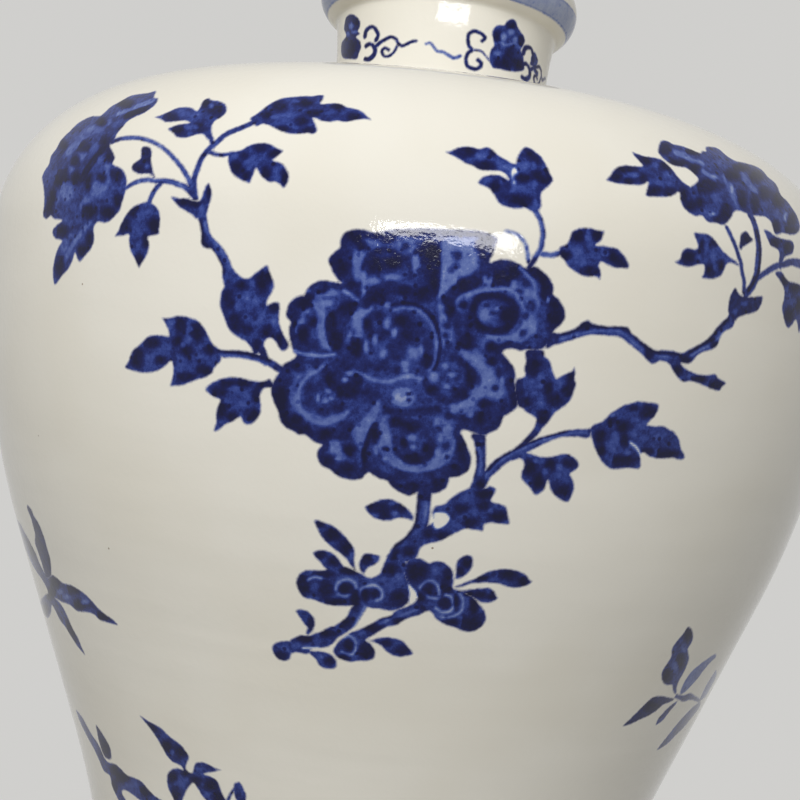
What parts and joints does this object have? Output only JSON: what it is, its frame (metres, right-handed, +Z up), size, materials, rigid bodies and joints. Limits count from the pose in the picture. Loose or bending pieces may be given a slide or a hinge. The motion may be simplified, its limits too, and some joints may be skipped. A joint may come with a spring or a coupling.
{
  "type": "meiping vase",
  "caption": "Tall glazed porcelain vase with a small rolled mouth, broad shoulders and a slender waist, thrown in sections and luted together.",
  "frame": {"origin": "centre of the plane that the foot ring stands on", "axes": "+Z up along the vase's axis, from the foot to the mouth; +X and +Y are any two level directions, because the solids are round"},
  "size_m": [0.21, 0.21, 0.3256],
  "materials": {
    "biscuit_porcelain": "matt unglazed porcelain",
    "luting_slip": "matt fired slip",
    "glaze": "glossy clear glaze over cobalt painting"
  },
  "bodies": {
    "root": {"foot_section": "biscuit_porcelain", "waist_section": "biscuit_porcelain", "belly_section": "biscuit_porcelain", "shoulder_section": "biscuit_porcelain", "neck_and_lip": "biscuit_porcelain", "luting_slip_foot": "luting_slip", "luting_slip_waist": "luting_slip", "luting_slip_belly": "luting_slip", "luting_slip_neck": "luting_slip", "glaze_coat": "glaze"}
  },
  "joints": []
}
